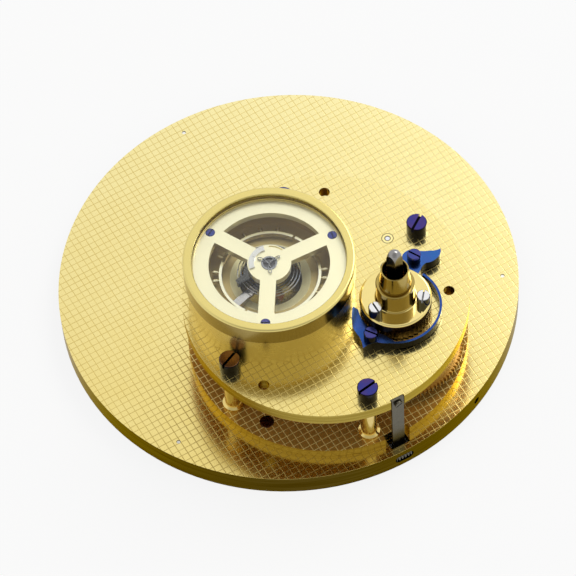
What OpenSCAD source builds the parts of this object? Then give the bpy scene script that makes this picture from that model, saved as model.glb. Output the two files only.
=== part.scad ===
// Deck chronometer: a going-barrel movement with a lever escapement, standing on its dial plate, seen from the back.
// The origin is at the middle of the dial plate's rim, where the plate rests. +Z is away from the dial, +Y is 12 o'clock.

/* [Dial plate] */
// Diameter of the dial plate
plate_d = 100; // [98:1:110]
// Thickness of the dial plate at its rim
plate_t = 5.1; // [4.9:0.1:6]
// Thickness of the dial plate inside its recess
plate_web = 1.6; // [1.4:0.1:1.8]
// Width of the rim round the recess that holds the dial and hands
plate_rim_w = 2; // [1.8:0.05:2.2]
// Distance from the edge of the dial plate to the middle of a dial foot
foot_inset = 3.5; // [3.3:0.05:4]
// Diameter of a dial foot
foot_d = 0.8; // [0.6:0.1:1]
// Thickness of the dial
dial_t = 0.6; // [0.4:0.1:0.7]
// Diameter of the screw hole in the edge of the dial plate
edge_hole_d = 1.6; // [1.2:0.1:2]

/* [Frame] */
// Distance from the middle of the dial plate to the middle of the movement
movement_offset = 17.2; // [17:0.1:17.5]
// Diameter of the pillar plate
pillar_plate_d = 60; // [59.6:0.1:60.4]
// Thickness of the pillar plate
pillar_plate_t = 2.7; // [2.6:0.1:3.2]
// Height between the two plates
plate_gap = 11.6; // [11.4:0.1:13]
// Diameter of the top plate
top_plate_d = 60.8; // [60.4:0.1:62]
// Thickness of the top plate
top_plate_t = 3; // [2.8:0.1:3.4]
// Diameter of the circle of the pillars
pillar_circle_d = 51.8; // [51.4:0.1:52.2]
// Diameter of a pillar at its waist
pillar_d = 3.6; // [3.2:0.1:3.8]
// Diameter of a pillar's collars
pillar_collar_d = 4.6; // [4.2:0.1:4.8]
// Diameter of a pillar screw's head
pillar_head_d = 4.4; // [4:0.1:4.6]
// Height of a pillar screw's head
pillar_head_h = 3.2; // [2.6:0.1:3.6]
// Diameter of the three plain holes that give access to the movement screws
access_hole_d = 2.35; // [2:0.05:2.6]

/* [Drum] */
// Place of the balance and its drum, sideways from the dial's middle line
drum_x = -9.8; // [-10:0.1:-9.6]
// Place of the balance and its drum along the dial's middle line
drum_y = -11.3; // [-11.5:0.1:-11.1]
// Diameter of the bezel ring
bezel_d = 36.2; // [35.8:0.1:36.6]
// Height of the bezel ring
bezel_h = 5; // [4.6:0.1:5.4]
// Diameter of the bezel's opening
bezel_opening_d = 32.4; // [32:0.1:32.8]
// Diameter of the drum below the bezel
drum_d = 35.2; // [34.8:0.1:35.3]
// Height of the bridge's underside above the top plate
bridge_seat_h = 10; // [9.9:0.1:10.4]
// Thickness of the three-armed bridge
bridge_t = 1.6; // [1.4:0.1:1.8]
// Width of the bridge's arms
bridge_arm_w = 3.35; // [3:0.05:3.6]
// Diameter of the bridge's hub
bridge_hub_d = 9.2; // [8.8:0.1:9.6]
// Inner diameter of the bridge's ring
bridge_ring_in_d = 25.4; // [25:0.1:25.8]
// Thickness of the glass
glass_t = 0.9; // [0.7:0.1:1.1]

/* [Balance] */
// Outer diameter of the balance rim
balance_d = 21.5; // [21:0.1:21.8]
// Height of the balance rim
balance_rim_h = 1.3; // [1.1:0.1:1.4]
// Width of the balance rim
balance_rim_w = 0.6; // [0.5:0.05:0.8]
// Width of the balance arms
balance_arm_w = 1.75; // [1.6:0.05:2]
// How far the timing screws reach out of the balance rim
balance_screws_out = 1.35; // [1.15:0.05:1.55]
// Turns of the balance spring
spring_turns = 8; // [6:1:9]
// Outer diameter of the balance spring
spring_d = 13.8; // [13:0.1:14]
// Thickness of the balance spring's ribbon
spring_ribbon = 0.12; // [0.1:0.01:0.14]
// Amplitude of the balance on each side of rest, in degrees, which the lever's bank angle answers to
bank_angle = 5; // [4:0.5:6]

/* [Winding] */
// Place of the winding axis, sideways from the dial's middle line
winding_x = 10.4; // [10.3:0.1:10.5]
// Place of the winding axis along the dial's middle line
winding_y = -28.6; // [-28.7:0.1:-28.5]
// Width of the winding square across its flats
square_w = 2.4; // [2.2:0.05:2.5]
// Height of the winding square's tip above the top plate
square_tip_h = 22; // [20.5:0.5:24]
// Diameter of the ratchet wheel
ratchet_d = 15.1; // [14.9:0.1:15.2]
// Thickness of the ratchet wheel
ratchet_t = 2.4; // [2.4:0.05:2.5]
// Teeth of the ratchet wheel
ratchet_teeth = 40; // [36:4:40]
// Diameter of the winding collar's flange
flange_d = 15.2; // [15:0.1:15.6]
// Height of the winding collar's flange
flange_h = 2.65; // [2.4:0.05:2.9]
// Height of the winding collar's mouth above the top plate
mouth_h = 15.6; // [14.6:0.1:16.2]
// Outer diameter of the winding collar's mouth
mouth_d = 5.9; // [5.8:0.1:6.1]
// Bore of the winding collar
collar_bore_d = 5.2; // [5:0.1:5.4]
// Outer diameter of the barrel's drum
barrel_d = 27; // [26.6:0.1:27]
// Height of the barrel
barrel_h = 8.3; // [8:0.1:8.4]

/* [Latch spring] */
// Width of the latch spring
latch_w = 2.8; // [2.4:0.1:3]
// Thickness of the latch spring
latch_t = 0.5; // [0.4:0.05:0.6]
// Width of the slot in the edge of the dial plate
latch_slot_w = 4.4; // [4.2:0.1:4.8]

/* [Hidden] */
$fn = 64;

// Finishes
brass = "#d9bd55";
pale_brass = "#efe2a6";
steel = "#c9ccd1";
dark_steel = "#5c5c58";
blued = "#2c3fae";
ruby = "#b8213f";
silvered = "#e6e4da";

// Clearances: seated parts, pivots in their holes, running parts side by side
seat_gap = 0.01;
pivot_gap = 0.03;
run_gap = 0.1;
tooth_gap = 0.25;

// Heights
plate_top = plate_t;
pillar_plate_top = plate_top + pillar_plate_t;
top_plate_low = pillar_plate_top + plate_gap;
top = top_plate_low + top_plate_t;
recess_roof = plate_t - plate_web;
recess_d = plate_d - 2 * plate_rim_w;
foot_circle_d = plate_d - 2 * foot_inset;

// Middles of the movement, the balance and the winding work
movement = [0, -movement_offset];
balance_at = [drum_x, drum_y];
winding_at = [winding_x, winding_y];

// Points and angles
function polar(p, r, a) = [p[0] + r * cos(a), p[1] + r * sin(a)];
function span(p, q) = norm(q - p);
function aim(p, q) = atan2(q[1] - p[1], q[0] - p[0]);
// The point at distance rp from p and rq from q, left (side = 1) or right (side = -1) of the line from p to q
function meet(p, q, rp, rq, side) =
  let(d = span(p, q), along = (rp * rp - rq * rq + d * d) / (2 * d), off = sqrt(rp * rp - along * along))
  polar(polar(p, along, aim(p, q)), off, aim(p, q) + 90 * side);
// The turn of wheel b that puts its gap on wheel a's tooth, where both have straight rows of even teeth
function mesh_turn(turn_a, teeth_a, teeth_b, dir) =
  dir + 180 - (turn_a - dir) * teeth_a / teeth_b + 180 / teeth_b;
// Points of a curve from a to b that bows to the left by the given height
function bow(a, b, height, steps = 8) =
  let(m = (a + b) / 2 + 2 * height * [-(b[1] - a[1]), b[0] - a[0]] / span(a, b))
  [for (i = [0:steps - 1]) let(t = i / steps) (1 - t) * (1 - t) * a + 2 * t * (1 - t) * m + t * t * b];
function arc(p, r, from, to, steps) = [for (i = [0:steps]) polar(p, r, from + (to - from) * i / steps)];

// Train: teeth, tooth module and pitch radii
barrel_teeth = 94;
centre_leaves = 12;
barrel_module = barrel_d / 90;
centre_teeth = 80;
third_leaves = 10;
centre_module = 0.2;
third_teeth = 75;
fourth_leaves = 10;
third_module = 0.2;
fourth_teeth = 80;
escape_leaves = 8;
fourth_module = 0.18;
escape_teeth = 15;
escape_tip_r = 4.2;
function pitch_r(teeth, size) = teeth * size / 2;
function mesh_distance(a, b, size) = pitch_r(a, size) + pitch_r(b, size);

// Places of the arbors
barrel_centre_span = mesh_distance(barrel_teeth, centre_leaves, barrel_module);
centre_at = polar(winding_at, barrel_centre_span, 95);
seconds_at = [0, winding_y + 12.1 * barrel_d / 27];
centre_third_span = mesh_distance(centre_teeth, third_leaves, centre_module);
third_fourth_span = mesh_distance(third_teeth, fourth_leaves, third_module);
third_at = meet(seconds_at, centre_at, third_fourth_span, centre_third_span, 1);
fourth_escape_span = mesh_distance(fourth_teeth, escape_leaves, fourth_module);
escape_at = polar(seconds_at, fourth_escape_span, 200);
pallet_span = escape_tip_r / cos(30);
fork_span = 7;
pallet_at = meet(balance_at, escape_at, fork_span, pallet_span, -1);

// Turns that put every pair in mesh
barrel_turn = aim(winding_at, centre_at);
centre_pinion_turn = mesh_turn(barrel_turn, barrel_teeth, centre_leaves, barrel_turn);
centre_turn = aim(centre_at, third_at);
third_pinion_turn = mesh_turn(centre_turn, centre_teeth, third_leaves, centre_turn);
third_turn = aim(third_at, seconds_at);
fourth_pinion_turn = mesh_turn(third_turn, third_teeth, fourth_leaves, third_turn);
fourth_turn = aim(seconds_at, escape_at);
escape_pinion_turn = mesh_turn(fourth_turn, fourth_teeth, escape_leaves, fourth_turn);

// Levels of the train, from the pillar plate up
centre_wheel_z = pillar_plate_top + 0.6;
wheel_t = 0.45;
third_pinion_z = centre_wheel_z - 0.3;
pinion_h = 1.1;
barrel_z = pillar_plate_top + 1.9;
barrel_tooth_t = 1.2;
centre_pinion_z = barrel_z - 0.25;
third_wheel_z = barrel_z + 2.4;
fourth_pinion_z = third_wheel_z - 0.35;
fourth_wheel_z = barrel_z + barrel_h + 0.55;
escape_pinion_z = fourth_wheel_z - 0.35;
escape_wheel_z = fourth_wheel_z - 2.4;
escape_wheel_t = 0.4;
lever_z = escape_wheel_z + escape_wheel_t + 0.2;
lever_t = 0.4;
roller_z = lever_z + lever_t + 0.3;
roller_t = 0.5;
cock_z = escape_wheel_z - 2.4;
cock_t = 1.2;

// Arbor sizes
arbor_r = 0.65;
centre_arbor_r = 0.9;
pivot_r = 0.3;
centre_pivot_r = 0.5;
jewel_r = 1.1;
jewel_t = 0.9;

// Frame details
pillar_mid = movement + [-0.8, -0.8];
pillar_turns = [10.1, 79.4, 190.2, 260];
pillar_slots = [34, 100, 23, 8];
pillar_thread_d = 2;
access_turns = [60.3, -30, -150.1];
access_circle_d = 52;
movement_head_d = 3;
movement_head_h = 0.9;
movement_thread_d = 1.4;
locating_at = [18.3, -12];
locating_pin_d = 1;
pin_bush_d = 2.6;
balance_screws_d = balance_d + 2 * balance_screws_out;
latch_turn = -91;

// Drum details
bridge_turns = [117, -3, -123];
bridge_screw_r = 14.8;
bridge_screw_d = 2;
bridge_ring_d = 32;
housing_in_d = 28;
spigot_d = 34;
spigot_h = bridge_seat_h + bridge_t + 0.5;
glass_z = top + spigot_h + 0.05;
bezel_low = glass_z + glass_t + 0.45 - bezel_h;
bezel_top = bezel_low + bezel_h;
housing_screw_turns = [57, 177, -63];
housing_screw_r = 15.9;
housing_thread_d = 1.3;
floor_hole_r = 6.65;
floor_ring_r = 8.5;
floor_t = 1.2;
sink_d = 17.2;
sink_h = 0.6;
staff_hole_d = 5.2;

// Balance levels
bridge_low = top + bridge_seat_h;
bridge_top = bridge_low + bridge_t;
balance_top = bridge_top - 3.9;
spring_z = balance_top + 0.55;
spring_h = 0.35;
balance_turn = 16;
staff_r = 0.8;
staff_pivot_r = 0.15;
roller_r = 2.1;
impulse_r = 1.6;
impulse_pin_r = 0.2;
setting_r = 1.7;
stud_turn = 177;
stud_rod_r = 3.8;

// Winding levels
ratchet_z = top + 0.35;
ratchet_depth = 0.4;
flange_z = ratchet_z + ratchet_t + seat_gap;
flange_top = flange_z + flange_h;
click_at = [19.5, -21];
click_z = top + 0.2;
click_t = 2.4;
click_beak_turn = 27;
click_spring_r = 9.25;
click_spring_w = 0.5;
click_spring_t = 2.1;
click_spring_at = [1.8, -32.9];
click_head_d = 3;
click_head_h = 1.9;
click_thread_d = 1.5;
collar_screw_turns = [-165, -45, 75];
collar_screw_r = 6;
arbor_bore_r = square_w * sqrt(2) / 2 + 0.03;
hub_r = 3.2;
barrel_wall = 0.7;
barrel_floor = 0.8;

// Motion work
transfer_teeth = 32;
transfer_module = 0.25;
transfer_span = mesh_distance(transfer_teeth, transfer_teeth, transfer_module);
transfer_at = meet(centre_at, [0, 0], transfer_span, transfer_span, -1);
driving_turn = aim(centre_at, transfer_at);
transfer_turn = mesh_turn(driving_turn, transfer_teeth, transfer_teeth, driving_turn);
cannon_turn = mesh_turn(transfer_turn, transfer_teeth, transfer_teeth, aim(transfer_at, [0, 0]));
cannon_leaves = 10;
minute_teeth = 30;
minute_leaves = 10;
hour_teeth = 40;
cannon_module = 0.2;
minute_span = mesh_distance(cannon_leaves, minute_teeth, cannon_module);
hour_module = 2 * minute_span / (minute_leaves + hour_teeth);
minute_dir = 135;
minute_at = polar([0, 0], minute_span, minute_dir);
minute_turn = mesh_turn(minute_dir, cannon_leaves, minute_teeth, minute_dir);
hour_turn = mesh_turn(minute_dir + 180, minute_leaves, hour_teeth, minute_dir + 180);
motion_t = 0.45;
hour_wheel_z = plate_top + 0.1;
minute_wheel_z = hour_wheel_z + motion_t + 0.08;
transfer_z = minute_wheel_z + motion_t + 0.1;
motion_roof = transfer_z + motion_t + 0.15;
centre_stud_r = 0.55;
cannon_pipe_r = 0.95;
hour_pipe_r = 1.35;
hand_t = 0.25;
seconds_hand_z = recess_roof - dial_t - 0.15 - hand_t;
hour_hand_z = seconds_hand_z - 0.2 - hand_t;
minute_hand_z = hour_hand_z - 0.25 - hand_t;

module at(p, z = 0) {
  translate([p[0], p[1], z]) children();
}

module disc(r, h) {
  cylinder(r = r, h = h);
}

module tube(r_out, r_in, h) {
  difference() {
    disc(r_out, h);
    translate([0, 0, -1]) disc(r_in, h + 2);
  }
}

// Outline of a toothed wheel with straight-sided teeth, one tooth at angle 0
module toothed(teeth, size, share) {
  r = pitch_r(teeth, size);
  step = 360 / teeth;
  root = r - 1.15 * size;
  tip = r + 0.85 * size;
  root_share = share + 0.14;
  tip_share = share - 0.18;
  polygon([
    for (i = [0:teeth - 1], k = [[root, -root_share], [tip, -tip_share], [tip, tip_share], [root, root_share]])
      polar([0, 0], k[0], (i + k[1] / 2) * step)
  ]);
}

module pinion(leaves, size, h, bore_r) {
  difference() {
    linear_extrude(h) toothed(leaves, size, 0.4);
    if (bore_r > 0) translate([0, 0, -1]) disc(bore_r, h + 2);
  }
}

// A crossed-out wheel: toothed rim, arms and hub with its bore
module crossed_wheel(teeth, size, h, arms, arm_w, rim_w, wheel_hub_r, bore_r) {
  root = pitch_r(teeth, size) - 1.15 * size;
  rim_in = root - rim_w;
  difference() {
    linear_extrude(h) toothed(teeth, size, 0.42);
    translate([0, 0, -1]) disc(bore_r, h + 2);
    difference() {
      translate([0, 0, -1]) disc(rim_in, h + 2);
      translate([0, 0, -2]) disc(wheel_hub_r, h + 4);
      for (i = [0:arms - 1])
        rotate(i * 360 / arms) translate([0, -arm_w / 2, -2]) cube([rim_in + 1, arm_w, h + 4]);
    }
  }
}

// A cheese-head screw: the head stands on z = 0 and the shank hangs below it
module slotted_screw(head_d, head_h, shank_d, shank_l, slot_turn) {
  slot_w = head_d * 0.13;
  slot_depth = head_h * 0.35;
  edge = min(0.2, head_h * 0.15);
  difference() {
    union() {
      disc(head_d / 2, head_h - edge);
      translate([0, 0, head_h - edge]) cylinder(r1 = head_d / 2, r2 = head_d / 2 - edge, h = edge);
      translate([0, 0, -shank_l]) disc(shank_d / 2, shank_l + 0.1);
    }
    rotate(slot_turn) translate([-head_d, -slot_w / 2, head_h - slot_depth]) cube([2 * head_d, slot_w, head_h]);
  }
}

module at_pillars() {
  for (a = pillar_turns) at(polar(pillar_mid, pillar_circle_d / 2, a)) children();
}

module at_access() {
  for (a = access_turns) at(polar(movement, access_circle_d / 2, a)) children();
}

module at_dial_feet() {
  for (a = [90, -30, -150]) at(polar([0, 0], foot_circle_d / 2, a)) children();
}

module at_train() {
  for (p = [third_at, seconds_at, escape_at, pallet_at]) at(p) children();
}

module at_latch() {
  at(movement) rotate(latch_turn + 90) children();
}

// The latch spring lies against the frame on a face this far from the movement's middle
latch_back = top_plate_d / 2 - latch_t;
latch_foot_z = 1.9;
latch_foot_t = 1.2;
latch_foot_w = 3.6;
latch_flex = 0.6;
// Room behind the strip and under its screw, in which the strip tilts
latch_gap = 0.05;
latch_top = top - 0.1;
latch_axis_z = top_plate_low + top_plate_t / 2;
latch_thread_d = 0.9;

module dial_plate() {
  slot_low = latch_foot_z - 0.5;
  slot_h = latch_foot_t + 1;
  slot_in = latch_back - latch_flex - 0.4;
  edge_hole_turn = -66.8;
  color(brass) difference() {
    disc(plate_d / 2, plate_t);
    translate([0, 0, -1]) disc(recess_d / 2, recess_roof + 1);
    at_dial_feet() disc(foot_d / 2 + 0.05, plate_t + 1);
    at_access() disc(movement_thread_d / 2, plate_t + 1);
    disc(hour_pipe_r + 0.3, plate_t + 1);
    at(minute_at, recess_roof - 1) disc(motion_stud_r + seat_gap, plate_t);
    at(seconds_at) disc(pivot_r + 0.3, plate_t + 1);
    at_latch() {
      translate([0, -slot_in, slot_low + slot_h / 2]) rotate([90, 0, 0]) linear_extrude(plate_d) hull()
        for (s = [-1, 1]) translate([s * (latch_slot_w - slot_h) / 2, 0]) circle(slot_h / 2);
      translate([-latch_slot_w / 2, -slot_in - latch_flex - latch_t - 1.3, slot_low + slot_h / 2])
        cube([latch_slot_w, latch_flex + latch_t + 1.3, plate_t]);
    }
    rotate(edge_hole_turn) translate([recess_d / 2 - 2, 0, recess_roof * 0.7]) rotate([0, 90, 0])
      disc(edge_hole_d / 2, plate_d);
  }
}

module dial() {
  notch_y = latch_back - latch_flex - 0.8;
  dial_r = recess_d / 2 - 0.3;
  color(silvered) {
    difference() {
      translate([0, 0, recess_roof - dial_t]) disc(dial_r, dial_t);
      disc(hour_pipe_r + 0.3, plate_t);
      at(seconds_at) disc(pivot_r + 0.3, plate_t);
      at_latch() translate([-latch_slot_w / 2 - 0.3, -plate_d, 0])
        cube([latch_slot_w + 0.6, plate_d - notch_y, plate_t]);
    }
    at_dial_feet() translate([0, 0, recess_roof - dial_t / 2]) disc(foot_d / 2, plate_web + dial_t / 2 - 0.15);
  }
}

module pillar_plate() {
  notch_w = latch_slot_w + 1.4;
  color(brass) difference() {
    at(movement, plate_top) disc(pillar_plate_d / 2, pillar_plate_t);
    at_pillars() disc(pillar_thread_d / 2 + seat_gap, 30);
    at_access() {
      disc(movement_thread_d / 2 + 0.05, 30);
      translate([0, 0, pillar_plate_top - movement_head_h]) disc(movement_head_d / 2 + 0.05, 5);
    }
    at(winding_at, pillar_plate_top - 1.8) disc(1 + pivot_gap, 5);
    at(centre_at) disc(centre_arbor_r + pivot_gap, 30);
    at_train() disc(jewel_r + seat_gap, 30);
    at(locating_at, plate_top - 1) disc(locating_pin_d / 2 + seat_gap, 10);
    for (p = [[0, 0], transfer_at, centre_at]) at(p, plate_top - 1)
      disc(pitch_r(transfer_teeth, transfer_module) + 0.6, motion_roof - plate_top + 1);
    at(minute_at, plate_top - 1) disc(pitch_r(minute_teeth, cannon_module) + 0.5, motion_roof - plate_top + 1);
    for (p = [[0, 0], transfer_at]) at(p) disc(centre_stud_r + seat_gap, 30);
    at_latch() translate([-notch_w / 2, -pillar_plate_d, 0])
      cube([notch_w, pillar_plate_d - latch_back + latch_flex + 0.5, 30]);
  }
}

module movement_screws() {
  slots = [20, 75, -40];
  color(steel) for (i = [0:2])
    at(polar(movement, access_circle_d / 2, access_turns[i]), pillar_plate_top - movement_head_h)
      slotted_screw(movement_head_d, movement_head_h, movement_thread_d - 2 * seat_gap,
        pillar_plate_t - movement_head_h + plate_web - 0.1, slots[i]);
}

module pillars() {
  collar_h = 1.2;
  waist = pillar_d / 2;
  collar = pillar_collar_d / 2;
  color(brass) at_pillars() difference() {
    union() {
      translate([0, 0, plate_top + 0.2]) disc(pillar_thread_d / 2, pillar_plate_t);
      translate([0, 0, pillar_plate_top]) rotate_extrude() polygon([
        [0, 0], [collar, 0], [collar, collar_h * 0.7], [waist, collar_h], [waist, plate_gap - collar_h],
        [collar, plate_gap - collar_h * 0.7], [collar, plate_gap], [0, plate_gap]
      ]);
    }
    translate([0, 0, top_plate_low - 4.5]) disc(pillar_thread_d / 2, 6);
  }
}

module pillar_screws() {
  color(blued) for (i = [0:3])
    at(polar(pillar_mid, pillar_circle_d / 2, pillar_turns[i]), top)
      slotted_screw(pillar_head_d, pillar_head_h, pillar_thread_d - 2 * seat_gap, top_plate_t + 4, pillar_slots[i]);
}

module top_plate() {
  color(brass) difference() {
    at(movement, top_plate_low) disc(top_plate_d / 2, top_plate_t);
    at_pillars() disc(pillar_thread_d / 2 + 0.1, 40);
    at_access() disc(access_hole_d / 2, 40);
    at(winding_at) disc(arbor_bore_r + pivot_gap, 40);
    at(locating_at) disc(pin_bush_d / 2 + seat_gap, 40);
    at(balance_at) disc(staff_hole_d / 2, 40);
    at(balance_at, top - sink_h) disc(sink_d / 2, 5);
    at_train() disc(jewel_r + seat_gap, 40);
    at(centre_at, top_plate_low - 1) disc(centre_pivot_r + pivot_gap, 1 + top_plate_t * 0.6);
    at(click_at) disc(click_thread_d / 2 + seat_gap, 40);
    at(click_spring_at) disc(click_thread_d / 2 + seat_gap, 40);
    at(cock_at) disc(cock_thread_d / 2 + seat_gap, top_plate_low + top_plate_t * 0.6);
    for (a = housing_screw_turns) at(polar(balance_at, housing_screw_r, a)) {
      disc(housing_thread_d / 2 + 0.1, 40);
      disc(housing_thread_d + 0.1, top_plate_low + 1);
    }
    at_latch() translate([-latch_w / 2 - 0.2, -top_plate_d, 0])
      cube([latch_w + 0.4, top_plate_d - latch_back + latch_gap, 40]);
    at_latch() translate([0, -latch_back + 3, latch_axis_z]) rotate([90, 0, 0]) disc(latch_thread_d / 2, 5);
  }
}

module locating_pin() {
  color(steel) at(locating_at) {
    translate([0, 0, plate_top + 0.2]) disc(locating_pin_d / 2, top - plate_top - 0.25);
    translate([0, 0, pillar_plate_top]) disc(locating_pin_d / 2 + 0.3, plate_gap - 0.3);
  }
}

module pin_bush() {
  color(pale_brass) at(locating_at, top_plate_low) tube(pin_bush_d / 2, locating_pin_d / 2 + seat_gap, top_plate_t);
}

// Drum with a floor under the balance; the floor has a wide hole with a bevelled edge
module balance_housing() {
  floor_top = balance_top - balance_rim_h - 0.4;
  color(brass) difference() {
    at(balance_at, top) union() {
      disc(drum_d / 2, bezel_low - top);
      disc(spigot_d / 2, spigot_h);
    }
    at(balance_at, top - 1) disc(housing_in_d / 2, floor_top - floor_t - top + 1);
    at(balance_at, floor_top - floor_t - 1) disc(floor_hole_r, 2 * floor_t + 1);
    at(balance_at, floor_top) rotate_extrude() polygon([
      [0, -0.5], [floor_hole_r, -0.5], [floor_ring_r, 0], [housing_in_d / 2, 0], [housing_in_d / 2, 20], [0, 20]
    ]);
    at(balance_at, bridge_low) disc(bridge_ring_d / 2 + 0.05, 40);
    for (a = housing_screw_turns) at(polar(balance_at, housing_screw_r, a), top - 1) disc(housing_thread_d / 2, 4.2);
    for (a = bridge_turns) at(polar(balance_at, bridge_screw_r, a), bridge_low - 2.6) disc(bridge_screw_d / 4, 3);
  }
}

module housing_screws() {
  head_h = 0.9;
  color(steel) for (a = housing_screw_turns)
    at(polar(balance_at, housing_screw_r, a), top_plate_low + 1) mirror([0, 0, 1])
      slotted_screw(2 * housing_thread_d, head_h, housing_thread_d - 2 * seat_gap, top_plate_t + 2, a);
}

module housing_bezel() {
  lip = glass_z + glass_t - bezel_low + 0.02;
  round_r = 0.45;
  outer = bezel_d / 2;
  bore = spigot_d / 2 + 0.03;
  opening = bezel_opening_d / 2;
  color(brass) at(balance_at, bezel_low + 0.02) rotate_extrude($fn = 128) polygon(concat(
    [[bore, 0]],
    arc([outer - round_r, round_r], round_r, -90, 0, 5),
    arc([outer - round_r, bezel_h - round_r], round_r, 0, 90, 5),
    [[opening + 0.15, bezel_h], [opening, bezel_h - 0.15], [opening, lip], [bore, lip]]
  ));
}

module housing_glass() {
  edge = 0.15;
  color([0.85, 0.9, 0.9, 0.35]) at(balance_at, glass_z) union() {
    disc(spigot_d / 2 - 0.05, glass_t - edge);
    translate([0, 0, glass_t - edge])
      cylinder(r1 = spigot_d / 2 - 0.05, r2 = spigot_d / 2 - 0.05 - edge, h = edge);
  }
}

module balance_bridge() {
  slot_r = 4.05;
  slot_w = 0.35;
  color(pale_brass) at(balance_at, bridge_low) difference() {
    union() {
      tube(bridge_ring_d / 2, bridge_ring_in_d / 2, bridge_t);
      disc(bridge_hub_d / 2, bridge_t);
      for (a = bridge_turns) rotate(a) translate([0, -bridge_arm_w / 2, 0])
        cube([bridge_ring_in_d / 2 + 0.6, bridge_arm_w, bridge_t]);
    }
    translate([0, 0, -1]) disc(setting_r + seat_gap, bridge_t + 2);
    for (a = bridge_turns) rotate(a) translate([bridge_screw_r, 0, -1]) {
      disc(bridge_screw_d / 4 + 0.05, 5);
      translate([0, 0, 1 + bridge_t - 0.5]) disc(bridge_screw_d / 2 + 0.03, 3);
    }
    translate([0, 0, bridge_t - 0.5]) linear_extrude(1)
      polygon(concat(arc([0, 0], slot_r, 20, 62, 10), arc([0, 0], slot_r + slot_w, 62, 20, 10)));
    rotate(stud_turn - 56) translate([stud_rod_r, 0, -1]) disc(0.32, 5);
  }
}

module bridge_screws() {
  head_h = 0.6;
  slots = [30, 80, 150];
  color(blued) for (i = [0:2])
    at(polar(balance_at, bridge_screw_r, bridge_turns[i]), bridge_top - 0.5)
      slotted_screw(bridge_screw_d, head_h, bridge_screw_d / 2 - 2 * seat_gap, bridge_t + 1.9, slots[i]);
}

// Steel segment on the hub with the dark arm and stud that hold the spring's outer end
module stud_holder() {
  seg_in = 3.2;
  seg_out = 4.35;
  seg_t = 0.35;
  arm_t = 0.3;
  end_r = spring_d / 2 + 0.8;
  color(steel) at(balance_at) {
    translate([0, 0, bridge_top]) linear_extrude(seg_t)
      polygon(concat(arc([0, 0], seg_in, 77, 170, 20), arc([0, 0], seg_out, 170, 77, 20)));
    rotate(stud_turn - 56) translate([stud_rod_r, 0, bridge_low - arm_t]) disc(0.3, bridge_t + arm_t + seg_t + 0.1);
  }
  color(dark_steel) at(balance_at) {
    translate([0, 0, bridge_low - arm_t]) linear_extrude(arm_t) polygon(concat(
      arc([0, 0], 3.2, stud_turn - 70, stud_turn - 8, 12),
      [polar([0, 0], 5, stud_turn + 6), polar([0, 0], end_r, stud_turn + 4)],
      [polar([0, 0], end_r, stud_turn - 4)],
      arc([0, 0], 5.3, stud_turn - 12, stud_turn - 70, 12)
    ));
    rotate(stud_turn) translate([spring_d / 2 + 0.06, -0.3, spring_z])
      cube([end_r - spring_d / 2 - 0.2, 0.6, bridge_low - arm_t / 2 - spring_z]);
  }
}

module jewel_setting() {
  color(steel) at(balance_at, bridge_low) difference() {
    disc(setting_r, bridge_t + 0.15);
    translate([0, 0, 0.9]) disc(setting_r - 0.4, 5);
    translate([0, 0, -1]) disc(staff_r + 0.1, 5);
  }
}

// Three-looped wire spring that presses the cap jewel down
module shock_spring() {
  wire = 0.16;
  loop_r = 0.42;
  loop_at = 1.35;
  color(steel) at(balance_at, bridge_top + 0.15 + seat_gap) linear_extrude(wire) {
    for (a = bridge_turns) rotate(a) translate([loop_at, 0]) difference() {
      circle(loop_r + wire / 2, $fn = 32);
      circle(loop_r - wire / 2, $fn = 32);
    }
    difference() {
      circle(loop_at - loop_r + wire / 2, $fn = 48);
      circle(loop_at - loop_r - wire / 2, $fn = 48);
    }
  }
}

module hole_jewel(r, hole_r, h) {
  color(ruby) tube(r, hole_r, h);
}

module balance_jewels() {
  hole_r = staff_pivot_r + pivot_gap;
  at(balance_at, bridge_low + 0.9) hole_jewel(setting_r - 0.4 - seat_gap, hole_r, 0.5);
  at(balance_at, cock_z) hole_jewel(jewel_r, hole_r, cock_t);
}

// Flat spiral ribbon: radius grows evenly from the collet to the outer end
module spiral_ribbon(r_in, r_out, turns, ribbon, h, end_turn) {
  steps = 24 * turns;
  function spiral_point(i, off) =
    polar([0, 0], r_in + (r_out - r_in) * i / steps + off, end_turn - 360 * turns * (1 - i / steps));
  linear_extrude(h) polygon(concat(
    [for (i = [0:steps]) spiral_point(i, -ribbon / 2)],
    [for (i = [steps:-1:0]) spiral_point(i, ribbon / 2)]
  ));
}

collet_r = 1.35;
spring_in_r = collet_r + 0.15;
spring_out_r = spring_d / 2 - spring_ribbon / 2;
spring_gap = (spring_out_r - spring_in_r) / spring_turns - spring_ribbon;
mainspring_ribbon = 0.35;
mainspring_turns = 9;
mainspring_in_r = hub_r + 0.5;
mainspring_out_r = barrel_d / 2 - barrel_wall - 0.35;
mainspring_gap = (mainspring_out_r - mainspring_in_r) / mainspring_turns - mainspring_ribbon;
echo("least gap between turns", balance_spring = spring_gap, mainspring = mainspring_gap);

module balance_spring() {
  color(blued) at(balance_at, spring_z)
    spiral_ribbon(spring_in_r, spring_out_r, spring_turns, spring_ribbon, spring_h, stud_turn);
}

cock_at = polar(balance_at, 5.4, 130);
cock_thread_d = 1.3;

module lower_cock() {
  foot_r = 1.9;
  color(brass) difference() {
    union() {
      at(cock_at, cock_z) disc(foot_r, top_plate_low - cock_z);
      at(balance_at, cock_z) disc(jewel_r + 0.9, cock_t);
      at(balance_at, cock_z) rotate(130) translate([0, -1.2, 0]) cube([5.4, 2.4, cock_t]);
    }
    at(balance_at) disc(jewel_r + seat_gap, 40);
    at(cock_at) disc(cock_thread_d / 2 + 0.05, 40);
    at(cock_at) disc(1.3, cock_z + 0.8);
  }
}

module cock_screw() {
  color(steel) at(cock_at, cock_z + 0.8) mirror([0, 0, 1])
    slotted_screw(2.4, 0.8, cock_thread_d - 2 * seat_gap, top_plate_low - cock_z + 0.8, 40);
}

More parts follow.
